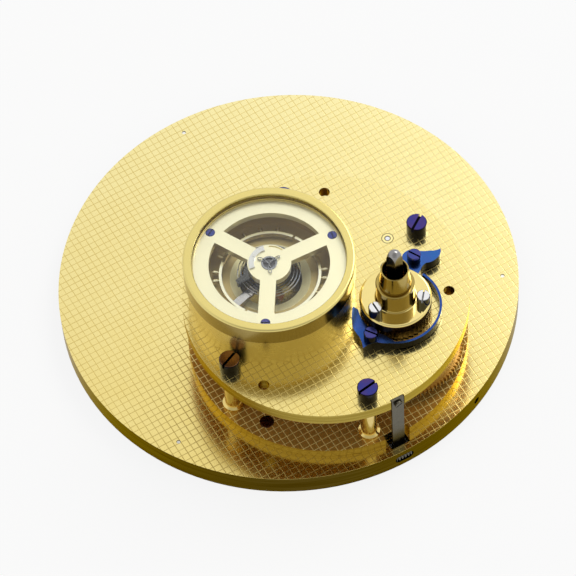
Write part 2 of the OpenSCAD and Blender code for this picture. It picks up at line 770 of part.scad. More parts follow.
module train_jewels() {
  hole_r = pivot_r + pivot_gap;
  at_train() translate([0, 0, top - jewel_t]) hole_jewel(jewel_r, hole_r, jewel_t - 0.05);
  at_train() translate([0, 0, pillar_plate_top - jewel_t]) hole_jewel(jewel_r, hole_r, jewel_t);
}

motion_stud_r = 0.4;

module motion_studs() {
  stud_low = minute_hand_z + hand_t + 0.1;
  color(steel) {
    translate([0, 0, stud_low]) disc(centre_stud_r, pillar_plate_top - stud_low - 0.1);
    at(transfer_at, transfer_z - 0.05) disc(centre_stud_r, pillar_plate_top - transfer_z - 0.1);
    at(minute_at, recess_roof) disc(motion_stud_r, minute_wheel_z + motion_t - recess_roof);
  }
}

module click_screws() {
  color(blued) {
    at(click_at, click_z + click_t + 0.05)
      slotted_screw(click_head_d, click_head_h, click_thread_d - 2 * seat_gap, click_t + top_plate_t * 0.8, -62);
    at(click_spring_at, click_z + click_spring_t)
      slotted_screw(click_head_d, click_head_h, click_thread_d - 2 * seat_gap, click_spring_t + top_plate_t * 0.8, -56);
  }
}

// Thin band round the ratchet, with the leaf-shaped foot that its screw holds down
module click_spring() {
  inner = click_spring_r;
  outer = inner + click_spring_w;
  foot_in = ratchet_d / 2 + 0.4;
  tip = winding_at + [-7.3, 4.85];
  side = winding_at + [-10.6, -0.4];
  hip = winding_at + [-10.6, -2.8];
  tail = winding_at + [-11.4, -5.8];
  fork = winding_at + [-8.1, -6.1];
  shoulder = polar(winding_at, outer, 232);
  color(blued) difference() {
    union() {
      at([0, 0], click_z + 0.1) linear_extrude(click_spring_t - 0.1)
        polygon(concat(arc(winding_at, inner, 22, -132, 36), arc(winding_at, outer, -132, 22, 36)));
      at([0, 0], top) linear_extrude(click_spring_t + click_z - top) polygon(concat(
        arc(winding_at, foot_in, 158, 222, 12),
        [polar(winding_at, inner, 238), polar(winding_at, outer, 238), shoulder],
        bow(shoulder, fork, 0.1, 3),
        bow(fork, tail, -0.3),
        bow(tail, hip, -0.15),
        bow(hip, side, 0.1, 4),
        bow(side, tip, 0.4)
      ));
    }
    at(click_spring_at) disc(click_thread_d / 2 + seat_gap, 40);
  }
}

module latch_screw() {
  color(dark_steel) at_latch() translate([0, -latch_back - latch_t - latch_gap, latch_axis_z]) rotate([90, 0, 0])
    slotted_screw(1.8, 0.6, latch_thread_d - 2 * seat_gap, latch_t + 2.5, 30);
}

// Flat strip down the side of the movement; its serrated foot lies in the slot in the dial plate's edge
module latch_spring() {
  foot_out = plate_d / 2 - movement_offset - 0.15;
  ridges = 5;
  color(dark_steel) at_latch() difference() {
    union() {
      translate([-latch_w / 2, -latch_back - latch_t, latch_foot_z]) cube([latch_w, latch_t, latch_top - latch_foot_z]);
      translate([-latch_foot_w / 2, -foot_out, latch_foot_z]) cube([latch_foot_w, foot_out - latch_back, latch_foot_t]);
    }
    for (i = [0:ridges - 1])
      translate([(i - (ridges - 1) / 2) * latch_foot_w / ridges, -foot_out, latch_foot_z + latch_foot_t / 2])
        rotate(45) cube([0.36, 0.36, 2 * latch_foot_t], center = true);
    translate([0, -latch_back + 1, latch_axis_z]) rotate([90, 0, 0]) disc(latch_thread_d / 2 + 0.02, 5);
  }
}

// Leaf-shaped click: the beak just over the ratchet's tips, the crown over the pivot, the pointed tail, the heel
module click() {
  beak = polar(winding_at, ratchet_d / 2 + 0.06, click_beak_turn + 0.4);
  breast = polar(winding_at, ratchet_d / 2 + 0.45, click_beak_turn + 10);
  back = click_at + [-2.2, 1.65];
  crown = click_at + [0.9, 2.4];
  saddle = click_at + [4, 0.1];
  tail = click_at + [6.2, -0.6];
  belly = click_at + [4.2, -2.3];
  notch = click_at + [1.7, -2.15];
  heel = click_at + [-0.1, -2.95];
  color(blued) at([0, 0], click_z) difference() {
    linear_extrude(click_t) polygon(concat(
      [beak],
      bow(breast, back, 0.3),
      bow(back, crown, 0.5),
      bow(crown, saddle, -0.3),
      bow(saddle, tail, -0.2),
      bow(tail, belly, 0.35),
      bow(belly, notch, 0.25),
      bow(notch, heel, -0.2),
      [heel, polar(winding_at, ratchet_d / 2 + 0.65, click_beak_turn - 1)]
    ));
    at(click_at, -1) disc(click_thread_d / 2 + pivot_gap, 10);
  }
}

module barrel_arbor() {
  cavity_low = barrel_z + barrel_floor;
  cavity_top = barrel_z + barrel_h - barrel_floor;
  shaft_r = arbor_bore_r;
  square_low = top + 0.15;
  tip_z = top + square_tip_h;
  color(steel) at(winding_at) {
    translate([0, 0, pillar_plate_top - 1.6]) disc(1, 2);
    translate([0, 0, pillar_plate_top + 0.1]) disc(shaft_r, square_low - pillar_plate_top - 0.1);
    translate([0, 0, cavity_low + run_gap]) disc(hub_r, cavity_top - cavity_low - 2 * run_gap);
    intersection() {
      rotate(18) translate([-square_w / 2, -square_w / 2, square_low - 0.1])
        cube([square_w, square_w, tip_z - square_low + 0.1]);
      rotate_extrude() polygon(concat(
        [[0, 0], [shaft_r, 0]],
        [for (t = [0:10:90]) [shaft_r * cos(t), tip_z - 2.8 + 2.8 * sin(t)]]
      ));
    }
  }
}

module ratchet_wheel() {
  tip_r = ratchet_d / 2;
  root_r = tip_r - ratchet_depth;
  step = 360 / ratchet_teeth;
  color(brass) at(winding_at, ratchet_z) difference() {
    rotate(click_beak_turn + 0.29 * step) linear_extrude(ratchet_t) polygon([
      for (i = [0:ratchet_teeth - 1], k = [[tip_r, -0.42], [root_r, -0.32], [tip_r, 0.5]])
        polar([0, 0], k[0], (i + k[1]) * step)
    ]);
    rotate(18) translate([-square_w / 2 - 0.02, -square_w / 2 - 0.02, -1])
      cube([square_w + 0.04, square_w + 0.04, ratchet_t + 2]);
    for (a = collar_screw_turns) rotate(a) translate([collar_screw_r, 0, -1]) disc(0.6, ratchet_t + 2);
  }
}

module winding_collar() {
  collar_r = 4.1;
  neck_r = mouth_d / 2 + 0.47;
  bore = collar_bore_d / 2;
  flange_r = flange_d / 2;
  waist_z = flange_h + 5.3;
  mouth = top + mouth_h - flange_z;
  color(brass) at(winding_at, flange_z) difference() {
    rotate_extrude($fn = 128) polygon(concat(
      [[bore, 0], [flange_r - 0.15, 0], [flange_r, 0.15]],
      arc([flange_r - 0.5, flange_h - 0.5], 0.5, 0, 90, 5),
      arc([collar_r + 0.4, flange_h + 0.4], 0.4, 270, 180, 4),
      [[collar_r, waist_z - 0.15], [collar_r - 0.15, waist_z], [neck_r - 0.15, waist_z]],
      [[neck_r - 0.15, waist_z + 0.35], [neck_r, waist_z + 0.45]],
      [[mouth_d / 2, mouth - 0.1], [mouth_d / 2 - 0.1, mouth], [bore + 0.1, mouth], [bore, mouth - 0.1]]
    ));
    for (a = collar_screw_turns) rotate(a) translate([collar_screw_r, 0, -1]) disc(0.62, flange_h + 2);
  }
}

module collar_screws() {
  head_h = 2.6;
  slots = [-91, -130, -100];
  color(steel) for (i = [0:2])
    at(polar(winding_at, collar_screw_r, collar_screw_turns[i]), flange_top)
      slotted_screw(2.9, head_h, 1.2 - 2 * seat_gap, flange_h + ratchet_t * 0.9, slots[i]);
}

module barrel() {
  cover_r = barrel_d / 2 - barrel_wall * 0.5;
  color(brass) at(winding_at, barrel_z) difference() {
    union() {
      disc(barrel_d / 2, barrel_h);
      rotate(barrel_turn) linear_extrude(barrel_tooth_t) toothed(barrel_teeth, barrel_module, 0.42);
    }
    translate([0, 0, barrel_floor]) disc(barrel_d / 2 - barrel_wall, barrel_h);
    translate([0, 0, barrel_h - barrel_floor]) disc(cover_r, barrel_h);
    translate([0, 0, -1]) disc(arbor_bore_r + pivot_gap, barrel_h);
  }
}

module barrel_cover() {
  color(brass) at(winding_at, barrel_z + barrel_h - barrel_floor)
    tube(barrel_d / 2 - barrel_wall * 0.5 - seat_gap, arbor_bore_r + pivot_gap, barrel_floor);
}

module mainspring() {
  h = barrel_h - 2 * barrel_floor - 4 * run_gap;
  color(dark_steel) at(winding_at, barrel_z + barrel_floor + 2 * run_gap)
    spiral_ribbon(mainspring_in_r, mainspring_out_r, mainspring_turns, mainspring_ribbon, h, 0);
}

// Steel arbor between the plates, with a pivot at each end and its pinion
module arbor(r, leaves, size, pinion_z, turn, pivot) {
  translate([0, 0, pillar_plate_top + 0.08]) disc(r, plate_gap - 0.16);
  translate([0, 0, pillar_plate_top - jewel_t]) disc(pivot, plate_gap + 2 * jewel_t);
  translate([0, 0, pinion_z]) rotate(turn) pinion(leaves, size, pinion_h, 0);
}

module centre_wheel() {
  color(brass) at(centre_at, centre_wheel_z) rotate(centre_turn)
    crossed_wheel(centre_teeth, centre_module, wheel_t, 5, 0.9, 0.8, 1.9, centre_arbor_r + seat_gap);
}

module centre_arbor() {
  color(steel) at(centre_at) {
    translate([0, 0, transfer_z]) disc(centre_arbor_r, top_plate_low - transfer_z - 0.1);
    translate([0, 0, top_plate_low - 1]) disc(centre_pivot_r, 1 + top_plate_t * 0.5);
    translate([0, 0, centre_pinion_z]) rotate(centre_pinion_turn)
      pinion(centre_leaves, barrel_module, barrel_tooth_t + 0.5, 0);
  }
}

module driving_wheel() {
  color(brass) at(centre_at, transfer_z) rotate(driving_turn)
    pinion(transfer_teeth, transfer_module, motion_t, centre_arbor_r + seat_gap);
}

module third_wheel() {
  color(brass) at(third_at, third_wheel_z) rotate(third_turn)
    crossed_wheel(third_teeth, third_module, wheel_t, 5, 0.8, 0.7, 1.7, arbor_r + seat_gap);
}

module third_arbor() {
  color(steel) at(third_at)
    arbor(arbor_r, third_leaves, centre_module, third_pinion_z, third_pinion_turn, pivot_r);
}

module fourth_wheel() {
  color(brass) at(seconds_at, fourth_wheel_z) rotate(fourth_turn)
    crossed_wheel(fourth_teeth, fourth_module, wheel_t * 0.8, 5, 0.7, 0.6, 1.5, arbor_r + seat_gap);
}

module fourth_arbor() {
  color(steel) at(seconds_at) {
    arbor(arbor_r, fourth_leaves, third_module, fourth_pinion_z, fourth_pinion_turn, pivot_r);
    translate([0, 0, seconds_hand_z]) disc(pivot_r, pillar_plate_top - seconds_hand_z);
  }
}

module seconds_hand() {
  length = 11;
  color(blued) at(seconds_at, seconds_hand_z) difference() {
    union() {
      disc(0.9, hand_t);
      linear_extrude(hand_t) polygon([[-0.22, -3.6], [0.22, -3.6], [0.16, 0], [0.1, length], [-0.1, length], [-0.16, 0]]);
      translate([0, -3.6, 0]) disc(0.7, hand_t);
    }
    translate([0, 0, -1]) disc(pivot_r + seat_gap, 3);
  }
}

module escape_wheel() {
  rim_out = escape_tip_r - 1;
  rim_in = rim_out - 0.5;
  step = 360 / escape_teeth;
  color(steel) at(escape_at, escape_wheel_z) rotate(aim(escape_at, pallet_at)) difference() {
    linear_extrude(escape_wheel_t) polygon([
      for (i = [0:escape_teeth - 1],
           k = [[rim_out, -3.6], [escape_tip_r, -1.1], [escape_tip_r, 1.1], [rim_out, 3.2]])
        polar([0, 0], k[0], i * step + k[1])
    ]);
    translate([0, 0, -1]) disc(arbor_r + seat_gap, 3);
    difference() {
      translate([0, 0, -1]) disc(rim_in, 3);
      translate([0, 0, -2]) disc(1.15, 5);
      for (i = [0:3]) rotate(45 + i * 90) translate([0, -0.25, -2]) cube([rim_in + 0.3, 0.5, 5]);
    }
  }
}

module escape_arbor() {
  color(steel) at(escape_at)
    arbor(arbor_r, escape_leaves, fourth_module, escape_pinion_z, escape_pinion_turn, pivot_r);
}

stone_w = 0.44;
stone_l = 1.15;
stone_clear = 0.06;
stone_turn = 30;

module at_stones() {
  at(escape_at) for (s = [-1, 1]) rotate(aim(escape_at, pallet_at) + s * stone_turn)
    translate([escape_tip_r + stone_clear, 0, 0]) children();
}

module pallet_lever() {
  fork_dir = aim(pallet_at, balance_at);
  fork_l = fork_span - impulse_r - impulse_pin_r - 0.03;
  notch_w = 2 * impulse_pin_r + 0.14;
  color(steel) difference() {
    union() {
      at(pallet_at, lever_z) disc(1.25, lever_t);
      for (s = [-1, 1]) hull() {
        at(pallet_at, lever_z) cylinder(r = 0.6, h = lever_t, $fn = 32);
        at(escape_at, lever_z) rotate(aim(escape_at, pallet_at) + s * stone_turn)
          translate([escape_tip_r + stone_clear + stone_l / 2, -0.35, 0]) cube([stone_l / 2, 0.7, lever_t]);
      }
      at(pallet_at, lever_z) rotate(fork_dir) linear_extrude(lever_t) polygon([
        [0, -0.7], [3, -0.35], [fork_l - 1.4, -0.35], [fork_l - 0.9, -0.6], [fork_l, -0.52],
        [fork_l, 0.52], [fork_l - 0.9, 0.6], [fork_l - 1.4, 0.35], [3, 0.35], [0, 0.7]
      ]);
    }
    at(pallet_at) disc(arbor_r + seat_gap, 40);
    at(pallet_at, lever_z - 1) rotate(fork_dir) translate([fork_l - 0.7, -notch_w / 2, 0]) cube([2, notch_w, 3]);
  }
}

module pallet_stones() {
  color(ruby) at_stones() translate([0, -stone_w / 2, escape_wheel_z - 0.05])
    cube([stone_l, stone_w, lever_z - escape_wheel_z + 0.05]);
}

module pallet_arbor() {
  color(steel) at(pallet_at) {
    translate([0, 0, pillar_plate_top + 0.08]) disc(arbor_r, plate_gap - 0.16);
    translate([0, 0, pillar_plate_top - jewel_t]) disc(pivot_r, plate_gap + 2 * jewel_t);
  }
}

screw_turns = [-40, -51, -71, -90, -108, -126, -144];

// Cut rim on a bar with two arms; each half of the rim ends short of the far arm
module balance_wheel() {
  outer = balance_d / 2;
  inner = outer - balance_rim_w;
  low = balance_top - balance_rim_h;
  block_in = 6.95;
  block_l = inner + 0.3 - block_in;
  color(pale_brass) at(balance_at, low) rotate(balance_turn) difference() {
    union() {
      tube(outer, inner, balance_rim_h);
      translate([-inner - 0.3, -balance_arm_w / 2, 0.35]) cube([2 * inner + 0.6, balance_arm_w, 0.6]);
      for (s = [-1, 1]) translate([s * (inner + 0.3 + block_in) / 2 - block_l / 2, -balance_arm_w / 2, 0])
        cube([block_l, balance_arm_w, balance_rim_h]);
      translate([0, 0, 0.35]) disc(2.2, 0.6);
    }
    translate([0, 0, -1]) disc(staff_r + seat_gap, 4);
    for (s = [0, 180]) rotate(s + 14) translate([inner - 1, 0, -1]) cube([3, 0.5, 4]);
    for (s = [0, 180], a = screw_turns) rotate(s + a) translate([outer - 0.7, 0, balance_rim_h / 2])
      rotate([0, 90, 0]) disc(0.25, 3);
  }
}

module balance_screws() {
  outer = balance_d / 2;
  head_l = balance_screws_d / 2 - outer - 0.35;
  color(brass) at(balance_at, balance_top - balance_rim_h / 2) rotate(balance_turn)
    for (s = [0, 180], a = screw_turns) rotate(s + a) translate([outer - 0.6, 0, 0]) rotate([0, 90, 0]) {
      disc(0.25 - seat_gap, 1);
      translate([0, 0, 0.95]) difference() {
        disc(0.45, head_l);
        translate([-1, -0.08, head_l - 0.2]) cube([2, 0.16, 1]);
      }
    }
}

module balance_staff() {
  color(steel) at(balance_at) {
    translate([0, 0, cock_z + cock_t + 0.1]) disc(staff_r, bridge_low + 0.75 - cock_z - cock_t - 0.1);
    translate([0, 0, cock_z + 0.2]) disc(staff_pivot_r, bridge_low + 1.35 - cock_z - 0.2);
    translate([0, 0, balance_top - balance_rim_h - 0.35]) disc(1.7, 0.7);
    translate([0, 0, spring_z - 0.1]) disc(collet_r, spring_h + 0.2);
  }
}

module balance_roller() {
  fork_dir = aim(balance_at, pallet_at);
  color(steel) at(balance_at, roller_z) difference() {
    disc(roller_r, roller_t);
    translate([0, 0, -1]) disc(staff_r + seat_gap, 3);
  }
  color(ruby) at(polar(balance_at, impulse_r, fork_dir), lever_z - 0.1) disc(impulse_pin_r, roller_z - lever_z + 0.3);
}

module transfer_wheel() {
  color(brass) at(transfer_at, transfer_z) rotate(transfer_turn)
    pinion(transfer_teeth, transfer_module, motion_t, centre_stud_r + pivot_gap);
}

module cannon_pinion() {
  pipe_low = minute_hand_z;
  color(steel) difference() {
    union() {
      translate([0, 0, transfer_z]) rotate(cannon_turn) linear_extrude(motion_t)
        toothed(transfer_teeth, transfer_module, 0.4);
      translate([0, 0, minute_wheel_z - 0.02]) rotate(minute_dir) linear_extrude(transfer_z - minute_wheel_z + 0.1)
        toothed(cannon_leaves, cannon_module, 0.4);
      translate([0, 0, pipe_low]) disc(cannon_pipe_r - 0.2, transfer_z - pipe_low);
    }
    translate([0, 0, minute_hand_z + hand_t]) disc(centre_stud_r + pivot_gap, 10);
  }
}

module spade_hand(length, boss_r, bore_r, shaft_w, spade_w) {
  leaf = length * 0.2;
  difference() {
    union() {
      disc(boss_r, hand_t);
      linear_extrude(hand_t) polygon([
        [-shaft_w * 0.7, 0], [-shaft_w / 2, length - leaf], [-spade_w / 2, length - leaf * 0.75],
        [-spade_w * 0.2, length - leaf * 0.3], [0, length], [spade_w * 0.2, length - leaf * 0.3],
        [spade_w / 2, length - leaf * 0.75], [shaft_w / 2, length - leaf], [shaft_w * 0.7, 0]
      ]);
    }
    translate([0, 0, -1]) disc(bore_r, 3);
  }
}

module minute_hand() {
  color(blued) translate([0, 0, minute_hand_z]) rotate(-60)
    spade_hand(37, 2, cannon_pipe_r - 0.2 + seat_gap, 0.8, 2.6);
}

module hour_hand() {
  color(blued) translate([0, 0, hour_hand_z]) rotate(-305)
    spade_hand(24, 2.4, hour_pipe_r + seat_gap, 1, 3.6);
}

module minute_wheel() {
  color(brass) at(minute_at) difference() {
    union() {
      translate([0, 0, minute_wheel_z]) rotate(minute_turn) linear_extrude(motion_t)
        toothed(minute_teeth, cannon_module, 0.4);
      translate([0, 0, hour_wheel_z]) rotate(minute_dir + 180) linear_extrude(motion_t + 0.1)
        toothed(minute_leaves, hour_module, 0.4);
    }
    disc(motion_stud_r + pivot_gap, 30);
  }
}

module hour_wheel() {
  color(brass) difference() {
    union() {
      translate([0, 0, hour_wheel_z]) rotate(hour_turn) linear_extrude(motion_t - 0.02)
        toothed(hour_teeth, hour_module, 0.4);
      translate([0, 0, hour_hand_z]) disc(hour_pipe_r, hour_wheel_z - hour_hand_z);
    }
    disc(cannon_pipe_r - 0.2 + pivot_gap, 30);
  }
}

dial_plate();
dial();
pillar_plate();
movement_screws();
pillars();
top_plate();
pillar_screws();
locating_pin();
pin_bush();
balance_housing();
housing_screws();
housing_bezel();
housing_glass();
balance_bridge();
bridge_screws();
stud_holder();
jewel_setting();
shock_spring();
balance_jewels();
balance_spring();
lower_cock();
cock_screw();
train_jewels();
motion_studs();
click_screws();
click_spring();
latch_screw();
latch_spring();
click();
barrel_arbor();
ratchet_wheel();
winding_collar();
collar_screws();
barrel();
barrel_cover();
mainspring();
centre_wheel();
centre_arbor();
driving_wheel();
third_wheel();
third_arbor();
fourth_wheel();
fourth_arbor();
seconds_hand();
escape_wheel();
escape_arbor();
pallet_lever();
pallet_stones();
pallet_arbor();
balance_wheel();
balance_screws();
balance_staff();
balance_roller();
transfer_wheel();
cannon_pinion();
minute_hand();
minute_wheel();
hour_wheel();
hour_hand();
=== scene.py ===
"""Deck chronometer on its dial plate: finishes, fine pieces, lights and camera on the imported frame."""

import math

import bmesh
import bpy
from mathutils import Matrix, Vector


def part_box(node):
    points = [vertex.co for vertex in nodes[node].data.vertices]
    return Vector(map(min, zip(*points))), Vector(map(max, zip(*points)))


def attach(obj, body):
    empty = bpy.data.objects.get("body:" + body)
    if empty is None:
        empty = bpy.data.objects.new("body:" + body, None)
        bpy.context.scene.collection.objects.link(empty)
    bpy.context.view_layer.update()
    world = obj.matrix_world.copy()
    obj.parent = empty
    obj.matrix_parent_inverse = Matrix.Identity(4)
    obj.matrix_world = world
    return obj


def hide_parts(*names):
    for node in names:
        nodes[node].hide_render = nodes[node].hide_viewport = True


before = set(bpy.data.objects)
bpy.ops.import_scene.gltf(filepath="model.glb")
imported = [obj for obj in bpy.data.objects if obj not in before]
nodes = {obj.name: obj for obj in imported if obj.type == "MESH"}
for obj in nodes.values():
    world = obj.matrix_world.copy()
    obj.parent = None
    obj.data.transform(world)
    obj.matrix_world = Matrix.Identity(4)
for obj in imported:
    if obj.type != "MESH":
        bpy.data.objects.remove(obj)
bpy.context.view_layer.update()
MM = 0.001

# Places on the movement, in metres
MOVEMENT = Vector((0.0, -17.2, 0.0)) * MM
BALANCE = Vector((-9.8, -11.3, 0.0)) * MM
WINDING = Vector((10.4, -28.6, 0.0)) * MM
PLATE_TOP = 5.1 * MM
PILLAR_PLATE_TOP = 7.8 * MM
TOP = 22.4 * MM


class Value:
    """A socket in a node tree, on which sums are written as plain expressions."""

    def __init__(self, shader, socket):
        self.shader = shader
        self.socket = socket

    def _math(self, operation, *others):
        return self.shader.node("ShaderNodeMath", {"operation": operation}, [self, *others])

    def __add__(self, other):
        return self._math("ADD", other)

    __radd__ = __add__

    def __sub__(self, other):
        return self._math("SUBTRACT", other)

    def __rsub__(self, other):
        return self.shader.node("ShaderNodeMath", {"operation": "SUBTRACT"}, [other, self])

    def __mul__(self, other):
        return self._math("MULTIPLY", other)

    __rmul__ = __mul__

    def __truediv__(self, other):
        return self._math("DIVIDE", other)

    def least(self, other):
        return self._math("MINIMUM", other)

    def most(self, other):
        return self._math("MAXIMUM", other)

    def above(self, other):
        return self._math("GREATER_THAN", other)

    def below(self, other):
        return self._math("LESS_THAN", other)

    def size(self):
        return self._math("ABSOLUTE")

    def floor(self):
        return self._math("FLOOR")

    def sine(self):
        return self._math("SINE")

    def cosine(self):
        return self._math("COSINE")

    def remainder(self, other):
        return self._math("FLOORED_MODULO", other)

    def ramp(self, low, high, from_value=0.0, to_value=1.0):
        """A smooth step from from_value at low to to_value at high."""
        return self.shader.node(
            "ShaderNodeMapRange",
            {"interpolation_type": "SMOOTHSTEP"},
            [self, low, high, from_value, to_value],
        )


class Nodes:
    """A node tree whose nodes are made by one method."""

    def node(self, kind, settings=None, values=(), named=None, output=0):
        """Adds a node, its settings first, then its inputs in order or by name; returns one output."""
        made = self.tree.nodes.new(kind)
        for key, value in (settings or {}).items():
            setattr(made, key, value)
        for i, value in enumerate(values):
            self._feed(made.inputs[i], value)
        for key, value in (named or {}).items():
            self._feed(made.inputs[key], value)
        return Value(self, made.outputs[output])

    def _feed(self, socket, value):
        if value is None:
            return
        if isinstance(value, Value):
            self.tree.links.new(value.socket, socket)
        elif socket.type == "RGBA" and len(value) == 3:
            socket.default_value = (*value, 1.0)
        else:
            socket.default_value = value

    def join(self, x, y, z):
        return self.node("ShaderNodeCombineXYZ", values=[x, y, z])


class Shader(Nodes):
    """One material or world, built from expressions."""

    def __init__(self, name, tree_owner=None):
        if tree_owner is None:
            tree_owner = bpy.data.materials.new(name)
        self.owner = tree_owner
        self.owner.use_nodes = True
        self.tree = self.owner.node_tree
        self.tree.nodes.clear()

    def place(self, centre=(0.0, 0.0, 0.0)):
        """Object coordinates, measured from centre."""
        raw = self.node("ShaderNodeTexCoord", output="Object")
        return self.node("ShaderNodeVectorMath", {"operation": "SUBTRACT"}, [raw, tuple(centre)])

    def ray(self, kind):
        """1 for rays of one kind, such as Camera, and 0 for the others."""
        return self.node("ShaderNodeLightPath", output=f"Is {kind} Ray")

    def toward(self, direction, side):
        """How nearly a direction points to a side: 1 for exactly."""
        return self.node(
            "ShaderNodeVectorMath", {"operation": "DOT_PRODUCT"}, [direction, tuple(side)], output="Value"
        )

    def parts(self, vector):
        """The three numbers of a vector."""
        split = self.tree.nodes.new("ShaderNodeSeparateXYZ")
        self.tree.links.new(vector.socket, split.inputs[0])
        return [Value(self, split.outputs[i]) for i in range(3)]

    def length(self, vector):
        return self.node("ShaderNodeVectorMath", {"operation": "LENGTH"}, [vector], output="Value")

    def noise(self, vector, scale, detail=2.0, rough=0.5):
        sizes = {"Scale": scale, "Detail": detail, "Roughness": rough}
        return self.node("ShaderNodeTexNoise", values=[vector], named=sizes)

    def grain(self, vector):
        """A random number for each whole-number place."""
        return self.node("ShaderNodeTexWhiteNoise", {"noise_dimensions": "3D"}, [vector])

    def mix(self, factor, first, second):
        """A colour between first, at 0, and second, at 1."""
        mixed = self.tree.nodes.new("ShaderNodeMix")
        mixed.data_type = "RGBA"
        self._feed(mixed.inputs[0], factor)
        self._feed(mixed.inputs[6], first)
        self._feed(mixed.inputs[7], second)
        return Value(self, mixed.outputs[2])

    def bump(self, height, strength, depth):
        return self.node("ShaderNodeBump", named={"Strength": strength, "Distance": depth, "Height": height})

    def surface(self, **inputs):
        """The principled surface with these inputs, by their names with spaces as underscores."""
        made = self.tree.nodes.new("ShaderNodeBsdfPrincipled")
        for key, value in inputs.items():
            self._feed(made.inputs[key.replace("_", " ")], value)
        return Value(self, made.outputs[0])

    def finish(self, surface):
        is_world = isinstance(self.owner, bpy.types.World)
        output = self.tree.nodes.new("ShaderNodeOutputWorld" if is_world else "ShaderNodeOutputMaterial")
        self.tree.links.new(surface.socket, output.inputs["Surface"])
        return self.owner


# Finishes

GRID_PITCH = 1.48 * MM
SKIN = 0.06 * MM  # how deep below a plate's face its finish reaches
HEAD_SKIN = 0.08 * MM  # the same on a screw's head
ROUNDING = 0.4 * MM  # height of a rounded upper edge, which shines as the face does
FAR = 1.0  # a level beyond the whole object
# painted shade: the near black of slots, head sides and lower faces of blued parts
SHADE_BELOW_TOP = (0.006, 0.005, 0.008)


def top_of(name):
    """The highest level of a node in its own coordinates."""
    return max(vertex.co.z for vertex in nodes[name].data.vertices)


def scratched_lines(shader, along, across, seed):
    """Hand-drawn parallel lines, one pitch apart in the direction along, each with its own weight."""
    wobble = shader.noise(shader.join(across, along, seed), 60.0, 1.0)
    place = along / GRID_PITCH + (wobble - 0.5) * 0.12
    row = (place + 0.5).floor()
    offset = (shader.grain(shader.join(row, seed, 3.0)) - 0.5) * 0.14
    distance = (place - row - offset).size()
    weight = shader.noise(shader.join(across, row * 0.01, seed), 120.0, 2.0).ramp(0.2, 0.6, 0.6, 1.0)
    return distance.ramp(0.04, 0.085, 1.0, 0.0) * weight


def squared_brass(name, top_z, edge_dark, edge_light, painted_reflection_levels=None):
    """Polished plate with squares scratched on its upper face, its turned edge coloured as painted
    reflection, and a painted red-brown reflection between the two given levels.
    """
    s = Shader(name)
    x, y, z = s.parts(s.place())
    face = z.above(top_z - SKIN)
    lines = scratched_lines(s, x, y, 1.0).most(scratched_lines(s, y, x, 5.0)) * face
    cell = s.join((x / GRID_PITCH).floor(), (y / GRID_PITCH).floor(), 0.0)
    panel = s.grain(cell) - 0.5
    brushed = s.noise(s.join(x * 2200.0, y * 260.0, z * 900.0), 1.0, 3.0) - 0.5
    turned = s.noise(s.join(x * 30.0, y * 30.0, z * 1500.0), 1.0, 4.0, 0.65) - 0.5
    stain = s.noise(s.join(x, y, z), 45.0, 3.0, 0.55) - 0.5
    # painted light: the upper face lightens along one direction across the plate, mixed with real stain and
    # random panel tone
    light_gradient_and_stain = (x * 0.62 + y * 0.78) / (100 * MM) + 0.5 + stain * 0.5 + panel * 0.08
    upper = s.mix(light_gradient_and_stain, (0.80, 0.645, 0.225), (0.89, 0.79, 0.395))
    upper = s.mix(lines * 0.72, upper, (0.46, 0.34, 0.09))
    # painted reflection: the edge's colour range is set per plate to what that edge reflects, near black on
    # the dial plate and lighter above
    edge = s.mix(turned * 3.4 + 0.5, edge_dark, edge_light)
    colour = s.mix(face, edge, upper)
    metal = 1.0
    if painted_reflection_levels is not None:
        # painted reflection: faces between these levels turn red-brown and half as metallic, standing in for
        # brass reflected in the brass facing it
        painted_reflection_zone = z.above(painted_reflection_levels[0]) * z.below(painted_reflection_levels[1])
        colour = s.mix(painted_reflection_zone, colour, s.mix(lines, (0.52, 0.29, 0.055), (0.95, 0.80, 0.32)))
        metal = 1 - painted_reflection_zone * 0.5
    rough = 0.16 + brushed * 0.03 + lines * 0.26 + (1 - face) * 0.08
    height = brushed * 0.06 + turned * (1 - face) * 0.5 - lines
    return s.finish(
        s.surface(
            Base_Color=colour,
            Metallic=metal,
            Specular_Tint=(0.9, 0.72, 0.32, 1.0),
            Roughness=rough,
            Normal=s.bump(height, 0.3, 0.02 * MM),
        )
    )


def turned_brass(name, centre, light, dark, roughness=0.14, mottled=0.2, zones=()):
    """Brass turned about centre, with fine rings; zones recolours walls or floors by radius and height, as
    painted shade or painted highlights.
    """
    s = Shader(name)
    x, y, z = s.parts(s.place(centre))
    radius = s.length(s.join(x, y, 0.0))
    rings = s.noise(s.join(radius * 9000.0, z * 9000.0, 0.0), 1.0, 4.0) - 0.5
    patch = s.noise(s.join(x, y, z), 220.0, 3.0, 0.6).ramp(0.3, 0.75)
    colour = s.mix(patch * mottled + (rings * 0.4).most(0.0), light, dark)
    rough = roughness + rings * 0.06 + patch * 0.04
    # each zone paints shade or light onto its walls or floors
    for inner, outer, low, high, tint, tint_rough in zones:
        inside = radius.above(inner * MM) * radius.below(outer * MM) * z.above(low) * z.below(high)
        painted_zone_colour = s.mix(patch * mottled + (rings * 0.4).most(0.0), tint, tuple(c * 0.7 for c in tint))
        colour = s.mix(inside, colour, painted_zone_colour)
        rough = rough + inside * (tint_rough - roughness)
    return s.finish(
        s.surface(
            Base_Color=colour,
            Metallic=1.0,
            Roughness=rough,
            Normal=s.bump(rings, 0.15, 0.01 * MM),
        )
    )


